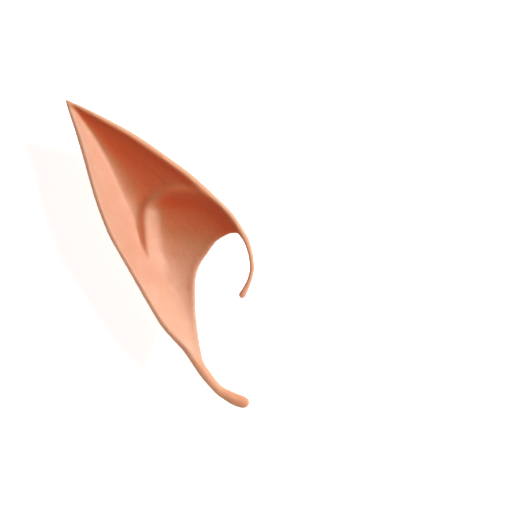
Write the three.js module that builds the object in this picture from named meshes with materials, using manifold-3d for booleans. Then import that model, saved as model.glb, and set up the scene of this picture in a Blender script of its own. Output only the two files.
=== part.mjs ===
// A slip-on elf ear of moulded latex, for the wearer's right ear.
// One hollow casting: a front skin shaped as an ear, a back skin behind it, and a rim bead that joins
// them round the edge and runs on as the hook above the ear opening and as the tail below it.
// The wearer's ear goes into the pocket between the two skins, through the mouth along the opening.
// Millimetres. The ear lies on its back: +Z is its front, +Y points to the tip and +X to the hook.
import * as THREE from 'three';
import { mergeVertices } from 'three/addons/utils/BufferGeometryUtils.js';
import Module from 'manifold-3d';

// Driving dimensions, between the centres of the rim bead where they go across the ear
const earHeight = 112.8;
const earWidth = 69.3;
const bowlDepth = 16;
const backDepth = 25.5;
const rimLift = 4;

// Skins and rim
const wall = 1.4;
const rimWallShare = 0.1;
const steepestWall = 66;
const outerRimDiameter = 2.1;
const frontRimDiameter = 2.5;
const skinOverlap = 0.25;
const backFloor = 0.36;
const backCurve = 3.6;

// Hook and tail
const hookDiameter = 2;
const hookEndDiameter = 2.9;
const hookDrop = 4;
const tailDiameter = 3.7;
const tailEndDiameter = 4.7;
const tailDrop = 2.5;

// Relief of the front skin: the antihelix ridge, the groove outside it and the concha inside it. Going
// down the ear they fade out between reliefFull and reliefGone, and going up it the groove fades out
// between grooveFull and grooveGone. All four are shares of earHeight.
const ridgeHeight = 1.5;
const ridgeWidth = 1.7;
const grooveDepth = 3;
const grooveWidth = 2.4;
const grooveOffset = 3.8;
const grooveFull = 0.54;
const grooveGone = 0.675;
const conchaDepth = 2.4;
const conchaStep = 5.2;
const reliefFull = 0.48;
const reliefGone = 0.38;

// Ear opening: the front skin swells to a lip and rolls back at its edge, and the back skin is cut
// further out
const lipHeight = 0.3;
const lipWidth = 1.5;
const lipInset = 1.2;
const edgeRoll = 0.25;
const edgeRollWidth = 1.2;
const backSetback = 3;

// How the ear lies on its back, in degrees about the axes across and along it
const lieAcross = 1.41;
const lieAlong = -1.9;

// Mesh fineness
const frontColumns = 36;
const backColumns = 14;
const columnBunching = 0.5;
const slopeStretch = 0.12;
const barSides = 10;
const barStep = 2.6;
const capRings = 2;
const edgeSteps = 34;
const crestSteps = 60;

// Level sections of the ear from the tail up to the tip. up is a share of earHeight; outer and front,
// the bead's places at the outer and the front edge, are shares of earWidth; outerLift and frontLift
// are their heights as shares of rimLift. floor is where across the section the bowl is deepest, depth
// its share of bowlDepth and round how far up its walls the turn at its floor reaches (0 is a V with
// straight sides). back is the back skin's share of backDepth. outerBead and frontBead are shares of
// the two rim diameters, skin is one of wall, and rows is how many rows of the mesh follow. Up to the
// hook the front edge runs on beyond the ear opening, which cuts it away.
const columns = ['up', 'outer', 'front', 'outerLift', 'frontLift', 'floor', 'depth', 'round', 'back',
  'outerBead', 'frontBead', 'skin', 'rows'];
const sections = [
  [0.128, 0.706, 0.747, -1, -1, 0.5, 0.04, 0.6, 0.03, 1.85, 1, 0.6, 3],
  [0.18, 0.64, 0.792, -0.8, -1.1, 0.5, 0.2, 0.6, 0.19, 1.45, 1, 1, 3],
  [0.254, 0.528, 0.85, -0.5, -1.2, 0.46, 0.44, 0.6, 0.43, 1.15, 1, 1, 3],
  [0.339, 0.443, 0.909, -0.2, -1.1, 0.36, 0.68, 0.55, 0.68, 1, 1, 1, 4],
  [0.425, 0.364, 0.952, 0, -0.9, 0.24, 0.85, 0.42, 0.86, 1, 1, 1, 6],
  [0.504, 0.29, 0.968, 0.15, -0.6, 0.19, 0.92, 0.34, 0.95, 1, 1, 1, 5],
  [0.557, 0.243, 0.949, 0.2, -0.3, 0.21, 0.93, 0.3, 0.98, 1, 1, 1, 5],
  [0.62, 0.199, 0.882, 0.2, 0, 0.23, 0.88, 0.28, 1, 1, 1, 1, 5],
  [0.683, 0.164, 0.78, 0.15, 0.2, 0.235, 0.8, 0.26, 0.98, 1, 1, 1, 6],
  [0.749, 0.132, 0.66, 0.1, 0.3, 0.245, 0.67, 0.26, 0.88, 1, 1, 1, 3],
  [0.815, 0.103, 0.515, 0, 0.25, 0.26, 0.52, 0.26, 0.71, 1, 1, 1, 3],
  [0.881, 0.069, 0.358, -0.05, 0.15, 0.265, 0.34, 0.26, 0.48, 0.95, 0.95, 1, 3],
  [0.941, 0.036, 0.188, 0, 0.1, 0.275, 0.18, 0.28, 0.24, 0.85, 0.78, 0.7, 3],
  [0.993, 0.003, 0.022, 0.1, 0.1, 0.3, 0.02, 0.3, 0.02, 0.6, 0.5, 0.25, 0],
].map((row) => Object.fromEntries(row.map((value, i) => [columns[i], value])));

// The tip, where both beads end: shares as above, the bead's one of outerRimDiameter
const tip = { across: 0, up: 1, lift: 0.1, bead: 0.55 };

// The hook from its end up to the front edge, and the tail from its end to the first section. drop is a
// share of hookDrop or tailDrop, and thick is how far the bar has grown from the hook's or tail's
// diameter to its end's.
const hookRoute = [
  { across: 0.947, up: 0.355, drop: 1, thick: 1 },
  { across: 0.962, up: 0.373, drop: 0.85, thick: 0.5 },
  { across: 0.984, up: 0.401, drop: 0.65, thick: 0.05 },
  { across: 0.997, up: 0.431, drop: 0.5, thick: 0 },
  { across: 1, up: 0.451, drop: 0.4, thick: 0 },
  { across: 0.995, up: 0.479, drop: 0.25, thick: 0 },
  { across: 0.984, up: 0.51, drop: 0.12, thick: 0.1 },
  { across: 0.968, up: 0.538, drop: 0.05, thick: 0.4 },
];
const tailRoute = [
  { across: 0.953, up: -0.002, drop: 1, thick: 0.9 },
  { across: 0.908, up: 0.008, drop: 0.8, thick: 1 },
  { across: 0.865, up: 0.023, drop: 0.6, thick: 0.5 },
  { across: 0.822, up: 0.039, drop: 0.4, thick: 0.05 },
  { across: 0.779, up: 0.068, drop: 0.25, thick: 0.1 },
  { across: 0.746, up: 0.094, drop: 0.1, thick: 0.4 },
];

// The first section above the hook: from here up the front bead runs along the front edge
const hookSection = sections.findIndex((s) => s.up > hookRoute[hookRoute.length - 1].up);

// The edge of the ear opening from the tail up to the hook, and the crest of the antihelix ridge from
// the front edge round and down: shares of earWidth and earHeight
const openingEdge = [
  [0.822, 0.044], [0.765, 0.1], [0.733, 0.148], [0.715, 0.197], [0.701, 0.257], [0.692, 0.326],
  [0.691, 0.376], [0.698, 0.42], [0.721, 0.46], [0.758, 0.493], [0.806, 0.532], [0.854, 0.552],
  [0.901, 0.561], [0.96, 0.554],
];
const ridgeCrest = [
  [0.752, 0.696], [0.665, 0.699], [0.584, 0.699], [0.516, 0.691], [0.46, 0.675], [0.426, 0.649],
  [0.416, 0.619], [0.416, 0.584], [0.422, 0.544], [0.431, 0.504], [0.447, 0.469], [0.47, 0.43],
  [0.505, 0.386],
];

const at = (across, up, height) => new THREE.Vector3(across * earWidth, up * earHeight, height);
const planCurve = (shares) => new THREE.SplineCurve(
  shares.map(([across, up]) => new THREE.Vector2(across * earWidth, up * earHeight)));
const through = (points) => new THREE.CatmullRomCurve3(points, false, 'catmullrom');
const bell = (distance, width) => Math.exp(-((distance / width) ** 2));

// Rails and section values, all followed by one parameter that runs from the tail (0) to the tip (1)
const outerRail = through(sections.map((s) => at(s.outer, s.up, s.outerLift * rimLift)));
const frontRail = through(sections.map((s) => at(s.front, s.up, s.frontLift * rimLift)));
const hollows = through(sections.map((s) => new THREE.Vector3(
  s.floor, s.depth * bowlDepth, s.round)));
const backs = through(sections.map((s) => new THREE.Vector3(s.back * backDepth, s.skin * wall, 0)));

// Distance from a sampled plan curve, positive to the left of it
function distanceFrom(samples, x, y) {
  let found = Infinity;
  for (let i = 0; i + 1 < samples.length; i += 1) {
    const [a, b] = [samples[i], samples[i + 1]];
    const [ux, uy] = [b.x - a.x, b.y - a.y];
    const share = THREE.MathUtils.clamp(((x - a.x) * ux + (y - a.y) * uy) / (ux * ux + uy * uy), 0, 1);
    const [dx, dy] = [x - a.x - share * ux, y - a.y - share * uy];
    const side = ux * dy - uy * dx < 0 ? -1 : 1;
    if (Math.hypot(dx, dy) < Math.abs(found)) found = side * Math.hypot(dx, dy);
  }
  return found;
}

const crestSamples = planCurve(ridgeCrest).getPoints(crestSteps);
const edgeSamples = planCurve(openingEdge).getPoints(edgeSteps);

// Height that the relief adds to the front skin at a place in plan
function reliefAt(x, y) {
  const inside = distanceFrom(crestSamples, x, y);
  const fade = THREE.MathUtils.smoothstep(y / earHeight, reliefGone, reliefFull);
  const ridge = ridgeHeight * bell(inside, ridgeWidth);
  const grooveFade = 1 - THREE.MathUtils.smoothstep(y / earHeight, grooveFull, grooveGone);
  const groove = grooveFade * grooveDepth * bell(inside + grooveOffset, grooveWidth);
  const concha = conchaDepth * THREE.MathUtils.smoothstep(inside, 0, conchaStep);
  const fromEdge = distanceFrom(edgeSamples, x, y);
  const lip = lipHeight * bell(fromEdge - lipInset, lipWidth);
  const roll = edgeRoll * (1 - THREE.MathUtils.clamp(fromEdge / edgeRollWidth, -1, 1)) ** 2;
  return fade * (ridge - groove - concha) + lip - roll;
}

// A place on a straight line from the outer to the front edge. turn goes from 0 at the outer edge to PI
// at the front edge.
function between(along, turn) {
  const across = THREE.MathUtils.lerp(turn / Math.PI, (1 - Math.cos(turn)) / 2, columnBunching);
  return { across, place: outerRail.getPoint(along).lerp(frontRail.getPoint(along), across) };
}

// How far a place across a trough is up from its floor: 0 there and 1 at both edges
function riseFrom(across, floor) {
  return across < floor ? (floor - across) / floor : (across - floor) / (1 - floor);
}

// How deep a V with a rounded floor is, as a share: 1 at its floor and 0 at both edges
function roundedV(rise, round) {
  return 1 - (Math.hypot(rise, round) - round) / (Math.hypot(1, round) - round);
}

// The pocket's ceiling, which is the front skin's inner face. Its relief fades out at both edges.
function ceiling(along, turn, relief = 1) {
  const { across, place } = between(along, turn);
  const { x: floor, y: depth, z: round } = hollows.getPoint(along);
  if (relief) place.z += relief * (1 - (1 - Math.sin(turn)) ** 2) * reliefAt(place.x, place.y);
  place.z -= depth * roundedV(riseFrom(across, floor), round);
  return place;
}

// The pocket's floor, which is the back skin's inner face
function pocketFloor(along, turn) {
  const { across, place } = between(along, turn);
  place.z += skinOverlap - backs.getPoint(along).x * (1 - riseFrom(across, backFloor) ** backCurve);
  return place;
}

// Height of a skin at a place on its inner face, measured upright, for its wall to be as thick as it
// should be square to its slope. The slope is the face's without relief, taken over a stretch of it that
// rounds its creases. The skin thins towards the rim.
function skinHeight(innerFace, along, turn) {
  const alongStretch = slopeStretch / Math.PI;
  const [a0, a1] = [Math.max(along - alongStretch, 0), Math.min(along + alongStretch, 1)];
  const [t0, t1] = [Math.max(turn - slopeStretch, 0), Math.min(turn + slopeStretch, Math.PI)];
  const up = innerFace(a1, turn, 0).sub(innerFace(a0, turn, 0));
  const across = innerFace(along, t1, 0).sub(innerFace(along, t0, 0));
  const level = Math.max(across.cross(up).normalize().z, Math.cos(THREE.MathUtils.degToRad(steepestWall)));
  const thinning = THREE.MathUtils.lerp(rimWallShare, 1, Math.cbrt(Math.sin(turn)));
  return (backs.getPoint(along).y * thinning) / level;
}

// A closed geometry from points and triangles
function closedGeometry(points, triangles) {
  const geometry = new THREE.BufferGeometry();
  const numbers = points.flatMap((p) => p.toArray());
  geometry.setAttribute('position', new THREE.Float32BufferAttribute(numbers, 3));
  geometry.setIndex(triangles);
  return geometry;
}

// Where along the ear the front skin's mesh has its rows, and the back skin's has every second of them
const frontRows = sections.flatMap((s, k) => Array.from(
  { length: s.rows }, (_, i) => (k + i / s.rows) / (sections.length - 1)));
frontRows.push(1);
const backRows = frontRows.filter((_, i) => i % 2 === 0);

// A skin on its inner face, towards the front (+1) or the back (-1), closed round the four edges
function skinGeometry(innerFace, side, places, count) {
  const rows = places.length - 1;
  const points = [];
  for (const layer of [0, side]) {
    for (const along of places) {
      for (let j = 0; j <= count; j += 1) {
        const turn = (Math.PI * j) / count;
        const place = innerFace(along, turn);
        place.z += layer * skinHeight(innerFace, along, turn);
        points.push(place);
      }
    }
  }
  const layerSize = (rows + 1) * (count + 1);
  const index = (layer, i, j) => layer * layerSize + i * (count + 1) + j;
  const triangles = [];
  const quad = (a, b, c, d) => triangles.push(...(side > 0 ? [a, b, c, a, c, d] : [a, c, b, a, d, c]));
  for (let i = 0; i < rows; i += 1) {
    for (let j = 0; j < count; j += 1) {
      quad(index(1, i, j), index(1, i, j + 1), index(1, i + 1, j + 1), index(1, i + 1, j));
      quad(index(0, i, j), index(0, i + 1, j), index(0, i + 1, j + 1), index(0, i, j + 1));
    }
    quad(index(0, i, 0), index(1, i, 0), index(1, i + 1, 0), index(0, i + 1, 0));
    quad(index(0, i, count), index(0, i + 1, count), index(1, i + 1, count), index(1, i, count));
  }
  for (let j = 0; j < count; j += 1) {
    quad(index(0, 0, j), index(0, 0, j + 1), index(1, 0, j + 1), index(1, 0, j));
    quad(index(0, rows, j), index(1, rows, j), index(1, rows, j + 1), index(0, rows, j + 1));
  }
  return closedGeometry(points, triangles);
}

// A round bar along stops of { at, diameter }, with a round end at each end
function barGeometry(stops) {
  const centres = through(stops.map((s) => s.at));
  const radii = through(stops.map((s) => new THREE.Vector3(s.diameter / 2, 0, 0)));
  const steps = Math.ceil(centres.getLength() / barStep);
  const rings = [];
  let sideways = new THREE.Vector3(0, 0, 1);
  const addRing = (centre, tangent, radius) => {
    sideways = sideways.clone().addScaledVector(tangent, -sideways.dot(tangent)).normalize();
    const third = new THREE.Vector3().crossVectors(tangent, sideways);
    rings.push(Array.from({ length: barSides }, (_, k) => {
      const angle = (2 * Math.PI * k) / barSides;
      return centre.clone()
        .addScaledVector(sideways, radius * Math.cos(angle))
        .addScaledVector(third, radius * Math.sin(angle));
    }));
  };
  const addCap = (t, direction) => {
    const [centre, tangent, radius] = [centres.getPoint(t), centres.getTangent(t), radii.getPoint(t).x];
    const angles = Array.from({ length: capRings }, (_, k) => ((k + 1) * Math.PI) / 2 / (capRings + 1));
    if (direction < 0) angles.reverse();
    for (const angle of angles) {
      const place = centre.clone().addScaledVector(tangent, direction * radius * Math.sin(angle));
      addRing(place, tangent, radius * Math.cos(angle));
    }
    return centre.clone().addScaledVector(tangent, direction * radius);
  };
  const firstPole = addCap(0, -1);
  for (let i = 0; i <= steps; i += 1) {
    const t = centres.getUtoTmapping(i / steps);
    addRing(centres.getPoint(t), centres.getTangent(t), radii.getPoint(t).x);
  }
  const lastPole = addCap(1, 1);
  const points = [...rings.flat(), firstPole, lastPole];
  const [first, last] = [points.length - 2, points.length - 1];
  const triangles = [];
  for (let k = 0; k < barSides; k += 1) {
    const next = (k + 1) % barSides;
    triangles.push(first, next, k);
    for (let i = 0; i + 1 < rings.length; i += 1) {
      const [here, there] = [i * barSides, (i + 1) * barSides];
      triangles.push(here + k, here + next, there + next, here + k, there + next, there + k);
    }
    const end = (rings.length - 1) * barSides;
    triangles.push(end + k, end + next, last);
  }
  return closedGeometry(points, triangles);
}

// Everything on the hook's side of the opening edge, moved out from it by setback, as an upright prism
function openingGeometry(setback) {
  const reach = 2 * (backDepth + earWidth);
  const edge = planCurve(openingEdge);
  const outline = edgeSamples.map((point, i) => {
    const tangent = edge.getTangent(i / edgeSteps);
    return new THREE.Vector2(point.x - setback * tangent.y, point.y + setback * tangent.x);
  });
  const [start, end] = [outline[0], outline[outline.length - 1]];
  const corners = [new THREE.Vector2(reach, end.y), new THREE.Vector2(reach, start.y)];
  const shape = new THREE.Shape([...outline, ...corners].reverse());
  const prism = new THREE.ExtrudeGeometry(shape, { depth: reach, bevelEnabled: false });
  return prism.translate(0, 0, -reach / 2);
}

// The beads along the two edges, with the hook and the tail at their ends
const beadStop = (across, up, height, diameter) => ({ at: at(across, up, height), diameter });
const tipStop = beadStop(tip.across, tip.up, tip.lift * rimLift, tip.bead * outerRimDiameter);

function hookAndFrontBead() {
  const base = sections[hookSection].frontLift * rimLift;
  const diameterAt = (thick) => THREE.MathUtils.lerp(hookDiameter, hookEndDiameter, thick);
  const hook = hookRoute.map((r) => beadStop(
    r.across, r.up, base - r.drop * hookDrop, diameterAt(r.thick)));
  const front = sections.slice(hookSection).map((s) => beadStop(
    s.front, s.up, s.frontLift * rimLift, s.frontBead * frontRimDiameter));
  return barGeometry([...hook, ...front, tipStop]);
}

function tailAndOuterBead() {
  const base = sections[0].outerLift * rimLift;
  const diameterAt = (thick) => THREE.MathUtils.lerp(tailDiameter, tailEndDiameter, thick);
  const tail = tailRoute.map((r) => beadStop(
    r.across, r.up, base - r.drop * tailDrop, diameterAt(r.thick)));
  const outer = sections.map((s) => beadStop(
    s.outer, s.up, s.outerLift * rimLift, s.outerBead * outerRimDiameter));
  return barGeometry([...tail, ...outer, tipStop]);
}

// Joining and cutting
const wasm = await Module();
wasm.setup();

function solidOf(geometry) {
  const plain = geometry.clone();
  plain.deleteAttribute('normal');
  plain.deleteAttribute('uv');
  const merged = mergeVertices(plain);
  return new wasm.Manifold(new wasm.Mesh({
    numProp: 3,
    vertProperties: merged.getAttribute('position').array,
    triVerts: new Uint32Array(merged.index.array),
  }));
}

function geometryOf(solid) {
  const { vertProperties, triVerts } = solid.getMesh();
  const geometry = new THREE.BufferGeometry();
  geometry.setAttribute('position', new THREE.BufferAttribute(vertProperties, 3));
  geometry.setIndex(new THREE.BufferAttribute(triVerts, 1));
  geometry.computeVertexNormals();
  return geometry;
}

function earGeometry() {
  const frontSkin = solidOf(skinGeometry(ceiling, 1, frontRows, frontColumns));
  const backSkin = solidOf(skinGeometry(pocketFloor, -1, backRows, backColumns));
  const solid = frontSkin.subtract(solidOf(openingGeometry(0)))
    .add(backSkin.subtract(solidOf(openingGeometry(backSetback))))
    .add(solidOf(hookAndFrontBead()))
    .add(solidOf(tailAndOuterBead()));
  return geometryOf(solid);
}

const latex = new THREE.MeshStandardMaterial({ color: 0xf2b08a, roughness: 0.5, metalness: 0 });
const ear = new THREE.Mesh(earGeometry(), latex);
ear.name = 'ear_shell';
ear.rotation.set(THREE.MathUtils.degToRad(lieAcross), THREE.MathUtils.degToRad(lieAlong), 0);

// The origin is on the resting surface, under the middle of the ear's box
const part = new THREE.Group();
part.add(ear);
const box = new THREE.Box3().setFromObject(part, true);
const middle = box.getCenter(new THREE.Vector3());
ear.position.set(-middle.x, -middle.y, -box.min.z);

export default part;
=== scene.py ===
"""The looks of a slip-on elf ear of moulded latex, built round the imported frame.

The ear is one hollow casting: a front skin with an ear's relief, a back skin behind it, and a rim bead
that joins them and runs on as the hook and the tail. It lies on its back on a pale floor.
The tables are in millimetres and in shares of named sizes, in the ear's own frame before it lies down:
+X from the outer edge to the hook, +Y from the tail to the tip, +Z out of its front.
"""
import math

import bmesh
import bpy
import numpy as np
from mathutils import Euler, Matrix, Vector
from mathutils.bvhtree import BVHTree


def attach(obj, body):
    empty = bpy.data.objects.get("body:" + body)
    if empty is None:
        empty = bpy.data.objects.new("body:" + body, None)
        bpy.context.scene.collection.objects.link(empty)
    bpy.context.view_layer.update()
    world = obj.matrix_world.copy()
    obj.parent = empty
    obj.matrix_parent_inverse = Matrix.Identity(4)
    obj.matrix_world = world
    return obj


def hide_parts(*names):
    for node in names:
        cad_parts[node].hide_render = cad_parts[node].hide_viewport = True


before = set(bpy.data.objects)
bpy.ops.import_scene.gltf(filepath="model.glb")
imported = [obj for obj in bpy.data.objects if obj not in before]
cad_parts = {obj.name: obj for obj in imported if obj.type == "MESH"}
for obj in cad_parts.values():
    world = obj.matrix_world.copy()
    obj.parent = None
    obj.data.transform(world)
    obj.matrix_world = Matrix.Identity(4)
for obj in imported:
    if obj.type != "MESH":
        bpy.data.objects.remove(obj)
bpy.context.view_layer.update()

MM = 0.001
TINY = 1e-9

# Sizes of the ear, between the centres of the rim bead where they go across it
EAR_HEIGHT = 112.8
EAR_WIDTH = 69.3
BOWL_DEPTH = 16.0
BACK_DEPTH = 25.5
RIM_LIFT = 4.0
WALL = 1.4
OUTER_RIM = 2.1
FRONT_RIM = 2.5
SKIN_OVERLAP = 0.25
BACK_FLOOR = 0.36
BACK_CURVE = 3.6
BACK_WIDENING = 0.5
HOOK, HOOK_END, HOOK_DROP = 2.0, 2.9, 4.0
TAIL, TAIL_END, TAIL_DROP = 3.7, 4.7, 2.5

# The outer face stands this share of the full wall off the form at the rim, and the full wall is worked
# out up to a steepest slope. The wall is at least the thinnest, but no more than a share of a narrow
# section's width
RIM_WALL_SHARE = 0.1
STEEPEST_WALL = math.radians(66)
THINNEST_WALL = 1.1
NARROW_SHARE = 0.35

# Relief of the front skin; the ridge is lower where it nears the front rim, from and by shares of the
# width, and the groove and all relief fade between shares of the height
RIDGE_HEIGHT, RIDGE_WIDTH = 1.4, 1.75
RIDGE_LOWERED, RIDGE_LOWERED_FROM, RIDGE_LOWERED_BY = 0.35, 0.52, 0.7
GROOVE_DEPTH, GROOVE_WIDTH, GROOVE_OFFSET = 2.4, 3.0, 4.2
GROOVE_FULL, GROOVE_GONE = 0.54, 0.675
CONCHA_DEPTH, CONCHA_STEP = 2.3, 6.2
RELIEF_FULL, RELIEF_GONE = 0.48, 0.38
LIP_HEIGHT, LIP_WIDTH, LIP_INSET = 0.3, 1.5, 1.2
EDGE_ROLL, EDGE_ROLL_WIDTH = 0.25, 1.2

# How much further back than the front skin the back skin is cut at the ear opening
BACK_SETBACK = 3.0

# How the skins rise to meet the bead, as shares of its radius, how far in the rise reaches, and the
# widths of the ear over which it comes in
OUTER_RISE, OUTER_RISE_WIDTH = 0.8, 2.0
FRONT_RISE, FRONT_RISE_WIDTH = 0.75, 3.2
RISE_GONE, RISE_FULL = 2.0, 10.0

# How the ear lies on its back
LIE = Euler((math.radians(1.41), math.radians(-1.9), 0), "XYZ")

# Painted shade: the front face is painted a darker, deeper orange where it turns away from the lamp, standing
# in for the shade that falls there. Facing is how far a face looks towards the lamp, along the direction
# below, and margin is in millimetres from the rims. The painted shade is lighter in the groove below a share
# of the height and in the low part of the bowl, the ridge's crest has painted shade of its own where it
# crosses the recess, and the tail's end is painted a little darker and redder as shade too
LAMP_DIRECTION = (0.64, 0.26, 0.73)
PAINTED_SHADE_FACING_GONE, PAINTED_SHADE_FACING_FULL = 0.64, 0.15
PAINTED_SHADE_MARGIN_GONE, PAINTED_SHADE_MARGIN_FULL = 0.0, 1.4
GROOVE_CLEARING, GROOVE_CLEARING_WIDTH = 0.85, 3.2
GROOVE_CLEARING_PLACE = 0.7
GROOVE_CLEARING_FULL, GROOVE_CLEARING_GONE = 0.62, 0.68
LOW_PAINTED_SHADE, LOW_PAINTED_SHADE_UP, HIGH_PAINTED_SHADE_UP = 0.5, 0.46, 0.58
BEND_PAINTED_SHADE, CREST_PAINTED_SHADE, CREST_PAINTED_SHADE_WIDTH = 0.4, 0.86, 1.9
BEND_END, CREST_START = 0.42, 0.56
CREST_PAINTED_SHADE_GONE, CREST_PAINTED_SHADE_FULL = 0.63, 0.68
TAIL_PAINTED_SHADE, TAIL_PAINTED_SHADE_REACH = 0.35, 14.0

# How near the skins' outer faces, in millimetres, the casting follows them and takes their painted shade, and
# how near the bars it counts as bead and as rim
FOLLOW_REACH, FOLLOW_GONE, FOLLOW_FULL = 0.6, 0.28, 0.12
SHADE_TAKING_GONE, SHADE_TAKING_FULL = 0.6, 0.2
BEAD_GONE, BEAD_FULL = 0.7, 0.3
RIM_GONE, RIM_FULL = 1.6, 0.8

# Fineness
ROWS_A_SECTION = 15
FRONT_COLUMNS = 96
BACK_COLUMNS = 48
COLUMN_BUNCHING = 0.5
SLOPE_STRETCH = 0.12
BAR_SIDES = 24
BAR_STEP = 0.8
CAP_RINGS = 5
CURVE_SAMPLES = 90
# How often the painted shade is blurred and evened is among these
PAINTED_SHADE_BLUR, EDGE_BLUR = 6, 2
VOXEL = 0.52
CASTING_SWELL = 0.08
CAST_EVENING, RIM_EVENING, PAINTED_SHADE_EVENING = 6, 4, 5

# Level sections from the tail to the tip: up in shares of the height, outer and front in shares of the
# width, lifts of RIM_LIFT, the bowl's floor place, depth and round, the back skin's depth, the beads'
# diameters as shares of the rim diameters, and the skin's thickness as a share of WALL
SECTIONS = np.array([
    # up, outer, front, outer lift, front lift, floor, depth, round, back, outer bead, front bead, skin
    (0.1278, 0.706, 0.7474, -1, -1, 0.5, 0.04, 0.6, 0.03, 1.85, 1, 0.6),
    (0.1803, 0.6395, 0.7919, -0.8, -1.1, 0.5, 0.2, 0.6, 0.19, 1.45, 1, 1),
    (0.2537, 0.528, 0.8503, -0.5, -1.2, 0.46, 0.44, 0.6, 0.43, 1.15, 1, 1),
    (0.3389, 0.4425, 0.9087, -0.2, -1.1, 0.36, 0.68, 0.55, 0.68, 1, 1, 1),
    (0.4251, 0.3643, 0.9523, 0, -0.9, 0.24, 0.85, 0.42, 0.86, 1, 1, 1),
    (0.5044, 0.29, 0.9681, 0.15, -0.6, 0.19, 0.92, 0.34, 0.95, 1, 1, 1),
    (0.557, 0.2425, 0.9493, 0.2, -0.3, 0.21, 0.93, 0.3, 0.98, 1, 1, 1),
    (0.6204, 0.199, 0.882, 0.2, 0, 0.23, 0.88, 0.28, 1, 1, 1, 1),
    (0.6828, 0.1638, 0.78, 0.15, 0.2, 0.235, 0.8, 0.26, 0.98, 1, 1, 1),
    (0.7492, 0.1317, 0.6598, 0.1, 0.3, 0.245, 0.67, 0.26, 0.88, 1, 1, 1),
    (0.8147, 0.1025, 0.5147, 0, 0.25, 0.26, 0.52, 0.26, 0.71, 1, 1, 1),
    (0.8811, 0.0693, 0.3583, -0.05, 0.15, 0.265, 0.34, 0.26, 0.48, 0.95, 0.95, 1),
    (0.9405, 0.0356, 0.1881, 0, 0.1, 0.275, 0.18, 0.28, 0.24, 0.85, 0.78, 0.7),
    (0.9934, 0.003, 0.0218, 0.1, 0.1, 0.3, 0.02, 0.3, 0.02, 0.6, 0.5, 0.25),
])
UP, OUTER, FRONT, OUTER_LIFT, FRONT_LIFT, FLOOR, DEPTH, ROUND, BACK, OUTER_BEAD, FRONT_BEAD, SKIN = SECTIONS.T
HOOK_SECTION = 6
TIP = dict(across=0.0, up=1.0, lift=0.1, bead=0.55)

# The hook and the tail from their ends: across, up, drop and how far the bar has grown to its end's size
HOOK_ROUTE = [
    (0.9468, 0.3553, 1, 1), (0.9619, 0.3726, 0.85, 0.5), (0.9835, 0.4009, 0.65, 0.05),
    (0.9969, 0.4306, 0.5, 0), (0.9996, 0.4505, 0.4, 0), (0.9953, 0.4787, 0.25, 0),
    (0.9835, 0.5101, 0.12, 0.1), (0.9681, 0.5381, 0.05, 0.4),
]
TAIL_ROUTE = [
    (0.9526, -0.0017, 1, 0.9), (0.9079, 0.0082, 0.8, 1), (0.8648, 0.0226, 0.6, 0.5),
    (0.8217, 0.0392, 0.4, 0.05), (0.7786, 0.0683, 0.25, 0.1), (0.7462, 0.0936, 0.1, 0.4),
]

# Edge of the ear opening from the tail to the hook, and the crest of the antihelix ridge
OPENING_EDGE = [
    (0.8216, 0.0436), (0.7652, 0.0996), (0.7325, 0.1476), (0.7147, 0.1972),
    (0.7008, 0.2566), (0.6924, 0.326), (0.6914, 0.3756), (0.6979, 0.4202),
    (0.7206, 0.4598), (0.7583, 0.4925), (0.8058, 0.5322), (0.8543, 0.552),
    (0.9008, 0.5609), (0.9602, 0.554),
]
RIDGE_CREST = [
    (0.7523, 0.6957), (0.6652, 0.699), (0.584, 0.6985), (0.5157, 0.691),
    (0.4602, 0.6749), (0.4255, 0.6491), (0.4157, 0.6194), (0.4157, 0.5837),
    (0.4217, 0.5441), (0.4306, 0.5044), (0.4474, 0.4688), (0.4702, 0.4301),
    (0.5048, 0.3855),
]


def lerp(a, b, share):
    return a + (b - a) * share


def smoothstep(value, low, high):
    share = np.clip((value - low) / (high - low), 0, 1)
    return share * share * (3 - 2 * share)


def bell(distance, width):
    return np.exp(-((distance / width) ** 2))


def spline(points, t):
    """Places on a smooth curve through points, at shares t of its spans."""
    points = np.asarray(points, float)
    padded = np.vstack([2 * points[0] - points[1], points, 2 * points[-1] - points[-2]])
    place = np.clip(np.asarray(t, float), 0, 1) * (len(points) - 1)
    span = np.minimum(place.astype(int), len(points) - 2)
    w = (place - span)[..., None]
    p0, p1, p2, p3 = (padded[span + k] for k in range(4))
    m1, m2 = (p2 - p0) / 2, (p3 - p1) / 2
    return (p1 * (2 * w**3 - 3 * w**2 + 1) + m1 * (w**3 - 2 * w**2 + w)
            + p2 * (3 * w**2 - 2 * w**3) + m2 * (w**3 - w**2))


def at(across, up, height):
    return np.stack(np.broadcast_arrays(across * EAR_WIDTH, up * EAR_HEIGHT, height), -1)


OUTER_RAIL = at(OUTER, UP, OUTER_LIFT * RIM_LIFT)
FRONT_RAIL = at(FRONT, UP, FRONT_LIFT * RIM_LIFT)
HOLLOW_NAMES = ("floor", "depth", "round", "back", "wall", "outer_bead", "front_bead")
HOLLOWS = np.stack([FLOOR, DEPTH * BOWL_DEPTH, ROUND, BACK * BACK_DEPTH, SKIN * WALL,
                    OUTER_BEAD * OUTER_RIM / 2, FRONT_BEAD * FRONT_RIM / 2], -1)


def hollow_at(along):
    """The sizes of the hollow between the rails, by name, with the beads' radii."""
    return dict(zip(HOLLOW_NAMES, np.moveaxis(spline(HOLLOWS, along), -1, 0)))


def plan_samples(shares):
    return spline(np.array(shares) * (EAR_WIDTH, EAR_HEIGHT), np.linspace(0, 1, CURVE_SAMPLES + 1))


CREST = plan_samples(RIDGE_CREST)
EDGE = plan_samples(OPENING_EDGE)


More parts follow.
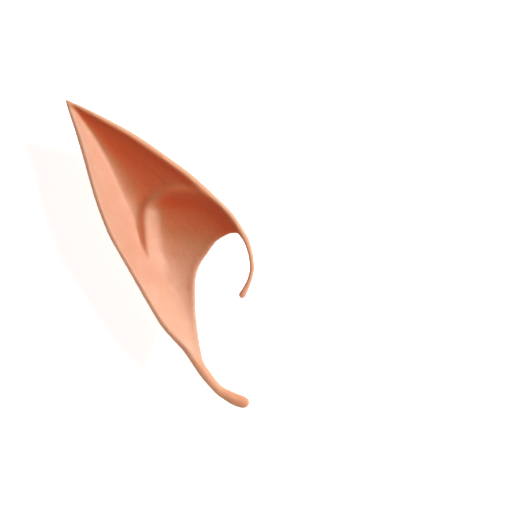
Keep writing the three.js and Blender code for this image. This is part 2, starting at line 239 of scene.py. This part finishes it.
def distance_from(samples, x, y):
    """Distance from a sampled plan curve, positive to the left of it."""
    found = np.full(np.shape(x), np.inf)
    for (ax, ay), (bx, by) in zip(samples, samples[1:]):
        ux, uy = bx - ax, by - ay
        share = np.clip(((x - ax) * ux + (y - ay) * uy) / (ux * ux + uy * uy), 0, 1)
        dx, dy = x - ax - share * ux, y - ay - share * uy
        away = np.hypot(dx, dy)
        side = np.where(ux * dy - uy * dx < 0, -1, 1)
        found = np.where(away < np.abs(found), side * away, found)
    return found


def relief_at(x, y):
    inside = distance_from(CREST, x, y)
    fade = smoothstep(y / EAR_HEIGHT, RELIEF_GONE, RELIEF_FULL)
    ridge = RIDGE_HEIGHT * bell(inside, RIDGE_WIDTH)
    ridge = ridge * (1 - RIDGE_LOWERED * smoothstep(x / EAR_WIDTH, RIDGE_LOWERED_FROM, RIDGE_LOWERED_BY))
    groove = GROOVE_DEPTH * bell(inside + GROOVE_OFFSET, GROOVE_WIDTH)
    groove = groove * smoothstep(-y / EAR_HEIGHT, -GROOVE_GONE, -GROOVE_FULL)
    concha = CONCHA_DEPTH * smoothstep(inside, 0, CONCHA_STEP)
    from_edge = distance_from(EDGE, x, y)
    lip = LIP_HEIGHT * bell(from_edge - LIP_INSET, LIP_WIDTH)
    roll = EDGE_ROLL * (1 - np.clip(from_edge / EDGE_ROLL_WIDTH, -1, 1)) ** 2
    return fade * (ridge - groove - concha) + lip - roll


def between(along, turn):
    """Places on the straight lines between the rails, with columns closer together near the rails."""
    along, turn = np.broadcast_arrays(along, turn)
    across = lerp(turn / math.pi, (1 - np.cos(turn)) / 2, COLUMN_BUNCHING)
    place = lerp(spline(OUTER_RAIL, along), spline(FRONT_RAIL, along), across[..., None])
    return across, place, hollow_at(along)


def rise_from(across, floor):
    return np.where(across < floor, (floor - across) / floor, (across - floor) / (1 - floor))


def rounded_v(rise, turn):
    """A V's depth as a share, 1 at its floor and 0 at its edges, with a round turn at the floor."""
    return 1 - (np.hypot(rise, turn) - turn) / (np.hypot(1, turn) - turn)


def rim_rise(along, across):
    """How far a skin stands out from the straight line between the bead's centres, close to the bead."""
    width = np.linalg.norm((spline(FRONT_RAIL, along) - spline(OUTER_RAIL, along))[..., :2], axis=-1)
    hollow = hollow_at(along)
    return smoothstep(width, RISE_GONE, RISE_FULL) * (
        OUTER_RISE * hollow["outer_bead"] * bell(across * width, OUTER_RISE_WIDTH)
        + FRONT_RISE * hollow["front_bead"] * bell((1 - across) * width, FRONT_RISE_WIDTH))


def ceiling(along, turn, relief=True):
    """The pocket's ceiling, which is the front skin's inner face."""
    across, place, hollow = between(along, turn)
    rise = rise_from(across, hollow["floor"])
    z = place[..., 2] - hollow["depth"] * rounded_v(rise, hollow["round"])
    if relief:
        share = 1 - (1 - np.sin(turn)) ** 2
        z = z + share * relief_at(place[..., 0], place[..., 1]) + rim_rise(along, across)
    return np.dstack([place[..., :2], z])


def pocket_floor(along, turn, relief=True):
    """The pocket's floor, which is the back skin's inner face. With its relief it reaches out under the
    bead on both sides."""
    across, place, hollow = between(along, turn)
    drop = hollow["back"] * (1 - rise_from(across, BACK_FLOOR) ** BACK_CURVE)
    z = place[..., 2] + SKIN_OVERLAP - drop
    plan = place[..., :2]
    if relief:
        span = (spline(FRONT_RAIL, along) - spline(OUTER_RAIL, along))[..., :2]
        outward = span / np.maximum(np.linalg.norm(span, axis=-1), TINY)[..., None]
        widening = BACK_WIDENING * (across * hollow["front_bead"] - (1 - across) * hollow["outer_bead"])
        plan = plan + outward * widening[..., None]
    return np.dstack([plan, z])


def full_height(inner_face, along, turn):
    """Upright height of the skin for its wall to be as thick as it should be square to its slope."""
    stretch = SLOPE_STRETCH / math.pi
    up = (inner_face(np.clip(along + stretch, 0, 1), turn, False)
          - inner_face(np.clip(along - stretch, 0, 1), turn, False))
    across = (inner_face(along, np.clip(turn + SLOPE_STRETCH, 0, math.pi), False)
              - inner_face(along, np.clip(turn - SLOPE_STRETCH, 0, math.pi), False))
    normal = np.cross(across, up)
    level = normal[..., 2] / np.maximum(np.linalg.norm(normal, axis=-1), TINY)
    return hollow_at(along)["wall"] / np.maximum(level, math.cos(STEEPEST_WALL))


def grid_faces(rows, columns, offset=0, flip=False):
    """Quads of a grid of (rows + 1) x (columns + 1) points."""
    i, j = np.meshgrid(np.arange(rows), np.arange(columns), indexing="ij")
    a = offset + i * (columns + 1) + j
    quads = np.stack([a, a + 1, a + columns + 2, a + columns + 1], -1).reshape(-1, 4)
    return quads[:, ::-1] if flip else quads


def face_normals_of(grid):
    normals = np.cross(np.gradient(grid, axis=1), np.gradient(grid, axis=0))
    return normals / np.maximum(np.linalg.norm(normals, axis=-1), TINY)[..., None]


def skin_surfaces(inner_face, side, columns):
    """The inner and the outer face of a skin as two grids of points. The outer face draws in towards
    the rim, and the inner face follows it at the wall's thickness, square to the smooth form."""
    rows = ROWS_A_SECTION * (len(SECTIONS) - 1)
    along = np.linspace(0, 1, rows + 1)[:, None] * np.ones(columns + 1)
    turn = np.linspace(0, math.pi, columns + 1)[None, :] * np.ones((rows + 1, 1))
    outer = inner_face(along, turn)
    full = full_height(inner_face, along, turn)
    thinning = lerp(RIM_WALL_SHARE, 1, np.cbrt(np.sin(turn)))
    outer[..., 2] += side * full * thinning
    width = np.linalg.norm(outer[:, -1:, :2] - outer[:, :1, :2], axis=-1)
    thickness = np.minimum(np.maximum(hollow_at(along)["wall"], THINNEST_WALL), NARROW_SHARE * width)
    form = inner_face(along, turn, False)
    return outer - side * thickness[..., None] * face_normals_of(form), outer


def skin_shell(inner, outer, side):
    """A closed shell between two grids."""
    rows, columns = inner.shape[0] - 1, inner.shape[1] - 1
    size = (rows + 1) * (columns + 1)
    faces = [grid_faces(rows, columns, 0, True), grid_faces(rows, columns, size)]
    index = np.arange(size).reshape(rows + 1, columns + 1)
    for line in (index[0], index[:, -1], index[-1][::-1], index[::-1, 0]):
        low, high = line[:-1], line[1:]
        faces.append(np.stack([low, high, high + size, low + size], -1))
    faces = np.vstack(faces)
    points = np.vstack([inner.reshape(-1, 3), outer.reshape(-1, 3)])
    return points, faces if side > 0 else faces[:, ::-1]


def bar(stops):
    """A round bar with round ends along stops of (x, y, z, diameter)."""
    stops = np.array(stops, float)
    length = np.linalg.norm(np.diff(stops[:, :3], axis=0), axis=1).sum()
    t = np.linspace(0, 1, int(length / BAR_STEP) + 1)
    track = spline(stops, t)
    centres, radii = track[:, :3], track[:, 3] / 2
    tangents = np.gradient(centres, axis=0)
    tangents /= np.linalg.norm(tangents, axis=1)[:, None]
    turns = np.linspace(0, math.pi / 2, CAP_RINGS + 2)[1:-1]
    first = [(centres[0] - tangents[0] * radii[0] * math.sin(a), tangents[0], radii[0] * math.cos(a))
             for a in turns[::-1]]
    last = [(centres[-1] + tangents[-1] * radii[-1] * math.sin(a), tangents[-1], radii[-1] * math.cos(a))
            for a in turns]
    rings = first + list(zip(centres, tangents, radii)) + last
    angles = np.linspace(0, 2 * math.pi, BAR_SIDES, endpoint=False)[:, None]
    sideways = np.array([0.0, 0.0, 1.0])
    points = []
    for centre, tangent, radius in rings:
        sideways = sideways - tangent * (sideways @ tangent)
        sideways = sideways / np.linalg.norm(sideways)
        third = np.cross(tangent, sideways)
        points.append(centre + radius * (np.cos(angles) * sideways + np.sin(angles) * third))
    points.append(np.array([centres[0] - tangents[0] * radii[0], centres[-1] + tangents[-1] * radii[-1]]))
    points = np.vstack(points)
    faces = []
    poles = len(points) - 2, len(points) - 1
    for k in range(BAR_SIDES):
        after = (k + 1) % BAR_SIDES
        faces.append((poles[0], after, k))
        for i in range(len(rings) - 1):
            here, there = i * BAR_SIDES, (i + 1) * BAR_SIDES
            faces.append((here + k, here + after, there + after, there + k))
        end = (len(rings) - 1) * BAR_SIDES
        faces.append((end + k, end + after, poles[1]))
    return points, faces


def opening_prism(setback):
    """Everything on the hook's side of the opening edge, moved out from it by setback."""
    reach = 2 * (BACK_DEPTH + EAR_WIDTH)
    tangents = np.gradient(EDGE, axis=0)
    tangents /= np.linalg.norm(tangents, axis=1)[:, None]
    outline = EDGE + setback * np.stack([-tangents[:, 1], tangents[:, 0]], -1)
    outline = np.vstack([outline, (reach, outline[-1, 1]), (reach, outline[0, 1])])[::-1]
    count = len(outline)
    points = np.vstack([np.column_stack([outline, np.full(count, z)]) for z in (-reach / 2, reach / 2)])
    sides = [(i, (i + 1) % count, count + (i + 1) % count, count + i) for i in range(count)]
    return points, sides + [tuple(range(count))[::-1], tuple(range(count, 2 * count))]


def mesh_object(name, points, faces):
    mesh = bpy.data.meshes.new(name)
    mesh.from_pydata([tuple(p) for p in points], [], [tuple(int(i) for i in f) for f in faces])
    mesh.validate()
    found = bpy.data.objects.new(name, mesh)
    bpy.context.scene.collection.objects.link(found)
    return found


def applied(target):
    """The object's mesh with its modifiers applied."""
    graph = bpy.context.evaluated_depsgraph_get()
    mesh = bpy.data.meshes.new_from_object(target.evaluated_get(graph))
    target.modifiers.clear()
    target.data = mesh
    return target


def cut(target, cutter):
    step = target.modifiers.new("cut", "BOOLEAN")
    step.operation, step.solver, step.object = "DIFFERENCE", "EXACT", cutter
    applied(target)
    bpy.data.objects.remove(cutter)
    return target


def bead_stop(across, up, height, diameter):
    return (*at(across, up, height), diameter)


def bars():
    tip = bead_stop(TIP["across"], TIP["up"], TIP["lift"] * RIM_LIFT, TIP["bead"] * OUTER_RIM)
    base = FRONT_LIFT[HOOK_SECTION] * RIM_LIFT
    hook = [bead_stop(a, u, base - d * HOOK_DROP, lerp(HOOK, HOOK_END, g)) for a, u, d, g in HOOK_ROUTE]
    front = [bead_stop(FRONT[k], UP[k], FRONT_LIFT[k] * RIM_LIFT, FRONT_BEAD[k] * FRONT_RIM)
             for k in range(HOOK_SECTION, len(SECTIONS))]
    base = OUTER_LIFT[0] * RIM_LIFT
    tail = [bead_stop(a, u, base - d * TAIL_DROP, lerp(TAIL, TAIL_END, g)) for a, u, d, g in TAIL_ROUTE]
    outer = [bead_stop(OUTER[k], UP[k], OUTER_LIFT[k] * RIM_LIFT, OUTER_BEAD[k] * OUTER_RIM)
             for k in range(len(SECTIONS))]
    return [bar(hook + front + [tip]), bar(tail + outer + [tip])]


def coordinates(mesh):
    found = np.empty(len(mesh.vertices) * 3)
    mesh.vertices.foreach_get("co", found)
    return found.reshape(-1, 3)


def join_all(parts):
    """One mesh from several objects, which are removed."""
    points, faces = [], []
    count = 0
    for part in parts:
        places = coordinates(part.data)
        points.append(places)
        faces += [tuple(count + i for i in face.vertices) for face in part.data.polygons]
        count += len(places)
        bpy.data.objects.remove(part)
    return mesh_object("ear_latex", np.vstack(points), faces)


def drop_crumbs(mesh):
    """Deletes all but the mesh's largest connected part."""
    work = bmesh.new()
    work.from_mesh(mesh)
    left = set(work.verts)
    parts = []
    while left:
        part, waiting = [], [left.pop()]
        while waiting:
            point = waiting.pop()
            part.append(point)
            for edge in point.link_edges:
                other = edge.other_vert(point)
                if other in left:
                    left.discard(other)
                    waiting.append(other)
        parts.append(part)
    for part in sorted(parts, key=len)[:-1]:
        bmesh.ops.delete(work, geom=part, context="VERTS")
    work.to_mesh(mesh)
    work.free()


def evened(mesh, values, steps):
    """Rows of values, one for each point, each moved half-way to its neighbours' mean in each step."""
    edges = np.array([edge.vertices[:] for edge in mesh.edges])
    count = np.bincount(edges.ravel(), minlength=len(values))[:, None]
    for _ in range(steps):
        total = np.zeros_like(values)
        np.add.at(total, edges[:, 0], values[edges[:, 1]])
        np.add.at(total, edges[:, 1], values[edges[:, 0]])
        values = (values + total / count) / 2
    return values


def set_places(mesh, places):
    mesh.vertices.foreach_set("co", places.astype(np.float32).ravel())
    mesh.update()


def blurred(values, steps):
    for _ in range(steps):
        padded = np.pad(values, 1, mode="edge")
        values = (padded[:-2, 1:-1] + padded[2:, 1:-1] + padded[1:-1, :-2] + padded[1:-1, 2:]
                  + 2 * padded[1:-1, 1:-1]) / 6
    return values


def painted_shade_on(grid):
    """How deep the painted shade is on the front face's grid, from 0 to 1: a darker, deeper orange where the
    face turns away from the lamp.
    """
    away = np.array(LIE.to_matrix()).T @ (np.array(LAMP_DIRECTION) / np.linalg.norm(LAMP_DIRECTION))
    facing = blurred(face_normals_of(grid) @ away, PAINTED_SHADE_BLUR)
    deep = np.clip((PAINTED_SHADE_FACING_GONE - facing) / (PAINTED_SHADE_FACING_GONE - PAINTED_SHADE_FACING_FULL), 0, 1)
    beside_ridge = distance_from(CREST, grid[..., 0], grid[..., 1]) + GROOVE_CLEARING_PLACE * GROOVE_OFFSET
    up = grid[..., 1] / EAR_HEIGHT
    clearing = GROOVE_CLEARING * smoothstep(-up, -GROOVE_CLEARING_GONE, -GROOVE_CLEARING_FULL)
    deep = deep * (1 - clearing * bell(beside_ridge, GROOVE_CLEARING_WIDTH))
    deep = deep * lerp(LOW_PAINTED_SHADE, 1, smoothstep(up, LOW_PAINTED_SHADE_UP, HIGH_PAINTED_SHADE_UP))
    on_crest = bell(distance_from(CREST, grid[..., 0], grid[..., 1]), CREST_PAINTED_SHADE_WIDTH)
    crest = lerp(BEND_PAINTED_SHADE, CREST_PAINTED_SHADE, smoothstep(grid[..., 0] / EAR_WIDTH, BEND_END, CREST_START))
    deep = lerp(deep, crest, on_crest * smoothstep(up, CREST_PAINTED_SHADE_GONE, CREST_PAINTED_SHADE_FULL))
    margin = np.minimum(np.linalg.norm(grid[..., :2] - grid[:, :1, :2], axis=-1),
                        np.linalg.norm(grid[..., :2] - grid[:, -1:, :2], axis=-1))
    return blurred(deep * smoothstep(margin, PAINTED_SHADE_MARGIN_GONE, PAINTED_SHADE_MARGIN_FULL), EDGE_BLUR)


def tree_of(points, faces):
    return BVHTree.FromPolygons([Vector(p) for p in points], [tuple(int(i) for i in f) for f in faces])


def nearness(distance, gone, full):
    """1 up to full away, fading to 0 at gone."""
    return float(smoothstep(-distance, -gone, -full))


def follow_faces(places, front_outer, back_outer):
    """The places moved onto the skins' outer faces where they are close to them, the front face's painted
    shade at each place, and how far each place lies on the front face."""
    followed = places.copy()
    painted_shade_at, on_front = np.zeros(len(places)), np.zeros(len(places))
    # Painted shade of the front face, to be carried onto the casting
    painted_shades = painted_shade_on(front_outer)
    for grid in (front_outer, back_outer):
        tree = tree_of(grid.reshape(-1, 3), grid_faces(grid.shape[0] - 1, grid.shape[1] - 1))
        for i, place in enumerate(places):
            spot, _, cell, distance = tree.find_nearest(Vector(place), FOLLOW_REACH)
            if spot is None:
                continue
            weight = nearness(distance, FOLLOW_GONE, FOLLOW_FULL)
            if weight > 0:
                followed[i] = lerp(place, np.array(spot), weight)
            if grid is front_outer:
                painted_shade_at[i] = painted_shades[divmod(cell, FRONT_COLUMNS)] * nearness(distance, SHADE_TAKING_GONE, SHADE_TAKING_FULL)
                on_front[i] = weight
    return followed, painted_shade_at, on_front


def near_bars(places, on_front):
    """How far each place lies on the bead, the hook or the tail, and how near it is to them."""
    bead, rim = np.zeros(len(places)), np.zeros(len(places))
    for points, faces in bars():
        tree = tree_of(points, faces)
        for i, place in enumerate(places):
            spot, _, _, distance = tree.find_nearest(Vector(place), RIM_GONE)
            if spot is not None:
                bead[i] = max(bead[i], nearness(distance, BEAD_GONE, BEAD_FULL) * (1 - on_front[i]))
                rim[i] = max(rim[i], nearness(distance, RIM_GONE, RIM_FULL))
    return bead, rim


def cast(front_outer, back_outer, shells):
    """One watertight mesh round the shells and the bars."""
    ear = join_all(shells + [mesh_object("bead", *b) for b in bars()])
    step = ear.modifiers.new("cast", "REMESH")
    step.mode, step.voxel_size = "VOXEL", VOXEL
    applied(ear)
    drop_crumbs(ear.data)
    places = evened(ear.data, coordinates(ear.data), CAST_EVENING)
    places, painted_shade, on_front = follow_faces(places, front_outer, back_outer)
    bead, rim = near_bars(places, on_front)
    places = lerp(places, evened(ear.data, places, RIM_EVENING), rim[:, None])
    set_places(ear.data, places)
    normals = np.empty(places.size)
    ear.data.vertices.foreach_get("normal", normals)
    set_places(ear.data, places + CASTING_SWELL * normals.reshape(-1, 3))
    # Painted shade, evened over the mesh; the tail's end is painted darker and redder as shade too, deepest
    # at its end
    painted_shade = evened(ear.data, painted_shade[:, None], PAINTED_SHADE_EVENING)[:, 0]
    tail_end = at(*TAIL_ROUTE[0][:2], OUTER_LIFT[0] * RIM_LIFT - TAIL_DROP)
    from_end = np.linalg.norm(places - tail_end, axis=1)
    painted_shade = np.maximum(painted_shade, TAIL_PAINTED_SHADE * smoothstep(-from_end, -TAIL_PAINTED_SHADE_REACH, 0))
    # The painted shade and the bead's place go onto the mesh for the material
    for name, values in (("painted_shade", painted_shade), ("bead", bead)):
        ear.data.attributes.new(name, "FLOAT", "POINT").data.foreach_set("value", values.astype(np.float32))
    return ear


def make_ear():
    front_inner, front_outer = skin_surfaces(ceiling, 1, FRONT_COLUMNS)
    back_inner, back_outer = skin_surfaces(pocket_floor, -1, BACK_COLUMNS)
    front = mesh_object("front_skin", *skin_shell(front_inner, front_outer, 1))
    back = mesh_object("back_skin", *skin_shell(back_inner, back_outer, -1))
    cut(front, mesh_object("front_cutter", *opening_prism(0)))
    cut(back, mesh_object("back_cutter", *opening_prism(BACK_SETBACK)))
    return cast(front_outer, back_outer, [front, back])


# The ear lies down, with the middle of its box over the origin
ear = make_ear()
turned = coordinates(ear.data) @ np.array(LIE.to_matrix()).T
low, high = turned.min(axis=0), turned.max(axis=0)
shift = np.array([(low[0] + high[0]) / 2, (low[1] + high[1]) / 2, low[2]])
set_places(ear.data, (turned - shift) * MM)
for face in ear.data.polygons:
    face.use_smooth = True


def to_row(place):
    """A place in the ear's own frame, in millimetres, as a place in the row's frame, in metres."""
    return Vector((np.array(LIE.to_matrix()) @ np.array(place) - shift) * MM)


def node(tree, kind, inputs=None, **settings):
    """A shader node with its settings and inputs, each input a value or another node's output."""
    found = tree.nodes.new(kind)
    for name, value in settings.items():
        setattr(found, name, value)
    for name, value in (inputs or {}).items():
        if isinstance(value, bpy.types.NodeSocket):
            tree.links.new(value, found.inputs[name])
        else:
            found.inputs[name].default_value = value
    return found


def mixed(tree, factor, a, b):
    """The colour output of a mix of two colours."""
    found = tree.nodes.new("ShaderNodeMix")
    found.data_type = "RGBA"
    for socket, value in zip((found.inputs[0], found.inputs[6], found.inputs[7]), (factor, a, b)):
        if isinstance(value, bpy.types.NodeSocket):
            tree.links.new(value, socket)
        else:
            socket.default_value = value
    return found.outputs[2]


def ramped(tree, value, low, high, to_low, to_high):
    return node(tree, "ShaderNodeMapRange", {
        "Value": value, "From Min": low, "From Max": high, "To Min": to_low, "To Max": to_high,
    }).outputs["Result"]


def noise(tree, where, settings):
    return node(tree, "ShaderNodeTexNoise", {"Vector": where, **settings}).outputs["Fac"]


# The latex's own colour
LIT_COLOUR = (0.83, 0.44, 0.288, 1)
# Painted shade: a darker, deeper orange for where the front face turns from the lamp, half-way and full
PAINTED_SHADE_MIDDLE_COLOUR = (0.72, 0.27, 0.122, 1)
PAINTED_SHADE_DEEP_COLOUR = (0.87, 0.145, 0.042, 1)
# Paler and ruddier tones of the latex's own colour, in random patches
PALE_COLOUR = (0.87, 0.49, 0.33, 1)
RUDDY_COLOUR = (0.80, 0.38, 0.23, 1)
# Painted light: a lighter orange for the bead, the hook and the tail, standing in for light glowing through
# the thin latex on their shaded sides
PAINTED_BEAD_LIGHT_COLOUR = (0.96, 0.43, 0.24, 1)

# The surface's noises, with scales in turns a metre
CLOUDS = {"Scale": 190, "Detail": 3, "Roughness": 0.55}
BLOTCHES = {"Scale": 60, "Detail": 2}
PEBBLE = {"Scale": 420, "Detail": 2, "Roughness": 0.5}
GRAIN = {"Scale": 1500, "Detail": 2, "Roughness": 0.6}
PEBBLE_BUMP = {"Strength": 0.5, "Distance": 0.00035}
GRAIN_BUMP = {"Strength": 0.4, "Distance": 0.00008}

# Ramps: from a low to a high level, to a low and a high share
PALE_RAMP = (0.46, 0.7, 0, 0.7)
RUDDY_RAMP = (0.5, 0.75, 0, 0.45)
# How far the bead's painted light comes in
PAINTED_BEAD_LIGHT_RAMP = (0, 1, 0, 0.8)
# How far the painted shade comes in, half-way and full
PAINTED_SHADE_MIDDLE_RAMP = (0, 0.55, 0, 1)
PAINTED_SHADE_DEEP_RAMP = (0.55, 1, 0, 1)
ROUGHNESS_RAMP = (0.3, 0.7, 0.46, 0.58)

LATEX_SHEEN = {
    "Specular IOR Level": 0.35,
    "Subsurface Weight": 0.15,
    "Subsurface Radius": (1.0, 0.4, 0.25),
    "Subsurface Scale": 0.0005,
}

latex = bpy.data.materials.new("latex")
latex.use_nodes = True
tree = latex.node_tree
shader = tree.nodes["Principled BSDF"]
where = node(tree, "ShaderNodeTexCoord").outputs["Object"]
# How deep the painted shade is, and where the bead is
painted_shade = node(tree, "ShaderNodeAttribute", attribute_name="painted_shade").outputs["Fac"]
bead = node(tree, "ShaderNodeAttribute", attribute_name="bead").outputs["Fac"]
clouds = noise(tree, where, CLOUDS)
skin = mixed(tree, ramped(tree, clouds, *PALE_RAMP), LIT_COLOUR, PALE_COLOUR)
skin = mixed(tree, ramped(tree, noise(tree, where, BLOTCHES), *RUDDY_RAMP), skin, RUDDY_COLOUR)
# Painted light: the bead, hook and tail lighter, as light glowing through the thin latex
skin = mixed(tree, ramped(tree, bead, *PAINTED_BEAD_LIGHT_RAMP), skin, PAINTED_BEAD_LIGHT_COLOUR)
# Painted shade: the front face a darker, deeper orange where it turns from the lamp
skin = mixed(tree, ramped(tree, painted_shade, *PAINTED_SHADE_MIDDLE_RAMP), skin, PAINTED_SHADE_MIDDLE_COLOUR)
skin = mixed(tree, ramped(tree, painted_shade, *PAINTED_SHADE_DEEP_RAMP), skin, PAINTED_SHADE_DEEP_COLOUR)
tree.links.new(skin, shader.inputs["Base Color"])
tree.links.new(ramped(tree, clouds, *ROUGHNESS_RAMP), shader.inputs["Roughness"])
soft = node(tree, "ShaderNodeBump", {"Height": noise(tree, where, PEBBLE), **PEBBLE_BUMP})
fine = node(tree, "ShaderNodeBump", {"Height": noise(tree, where, GRAIN), **GRAIN_BUMP,
                                     "Normal": soft.outputs["Normal"]})
tree.links.new(fine.outputs["Normal"], shader.inputs["Normal"])
for name, value in LATEX_SHEEN.items():
    shader.inputs[name].default_value = value
ear.data.materials.clear()
ear.data.materials.append(latex)

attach(ear, "root")
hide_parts("ear_shell")

# Floor
FLOOR_REACH = 3.0
FLOOR_PAINT = {
    "Base Color": (0.8, 0.8, 0.8, 1),
    "Roughness": 0.9,
    "Emission Color": (1, 1, 1, 1),
    "Emission Strength": 0.75,
}
corners = [(-FLOOR_REACH, -FLOOR_REACH, 0), (FLOOR_REACH, -FLOOR_REACH, 0),
           (FLOOR_REACH, FLOOR_REACH, 0), (-FLOOR_REACH, FLOOR_REACH, 0)]
floor = mesh_object("floor", corners, [(0, 1, 2, 3)])
paint = bpy.data.materials.new("floor_paint")
paint.use_nodes = True
for name, value in FLOOR_PAINT.items():
    paint.node_tree.nodes["Principled BSDF"].inputs[name].default_value = value
floor.data.materials.append(paint)

# Camera, looking straight at the ear's front: the distance and the reach are in metres, the rest in
# millimetres
FRAME_WIDTH = 191.2
FRAME_CENTRE = (1.0212 * EAR_WIDTH, 0.4852 * EAR_HEIGHT, 0.0)
CAMERA_DISTANCE = 1.4
CAMERA_REACH = 20.0
SENSOR_WIDTH = 36.0
camera_data = bpy.data.cameras.new("camera")
camera = bpy.data.objects.new("camera", camera_data)
bpy.context.scene.collection.objects.link(camera)
camera.location = to_row(FRAME_CENTRE) + LIE.to_matrix() @ Vector((0, 0, CAMERA_DISTANCE))
camera.rotation_euler = LIE
camera_data.sensor_width = SENSOR_WIDTH
camera_data.lens = SENSOR_WIDTH * CAMERA_DISTANCE / (FRAME_WIDTH * MM)
camera_data.clip_end = CAMERA_REACH
bpy.context.scene.camera = camera

# One soft lamp on the side that the bowl is open to, and a dim white room
LAMP_PLACE = (0.4 * EAR_WIDTH, 0.5 * EAR_HEIGHT, 0)
LAMP_DISTANCE, LAMP_SIZE, LAMP_POWER = 1.5, 0.5, 19
ROOM_STRENGTH = 0.23
lamp_data = bpy.data.lights.new("key", "AREA")
lamp_data.shape, lamp_data.size, lamp_data.energy = "DISK", LAMP_SIZE, LAMP_POWER
lamp = bpy.data.objects.new("key", lamp_data)
bpy.context.scene.collection.objects.link(lamp)
# The lamp stands along the same direction that the painted shade on the front face turns away from
away = Vector(LAMP_DIRECTION).normalized()
lamp.location = to_row(LAMP_PLACE) + away * LAMP_DISTANCE
lamp.rotation_euler = away.to_track_quat("Z", "Y").to_euler()

world = bpy.data.worlds.new("studio")
bpy.context.scene.world = world
world.use_nodes = True
world.node_tree.nodes["Background"].inputs["Color"].default_value = (1, 1, 1, 1)
world.node_tree.nodes["Background"].inputs["Strength"].default_value = ROOM_STRENGTH
bpy.context.scene.view_settings.view_transform = "Standard"
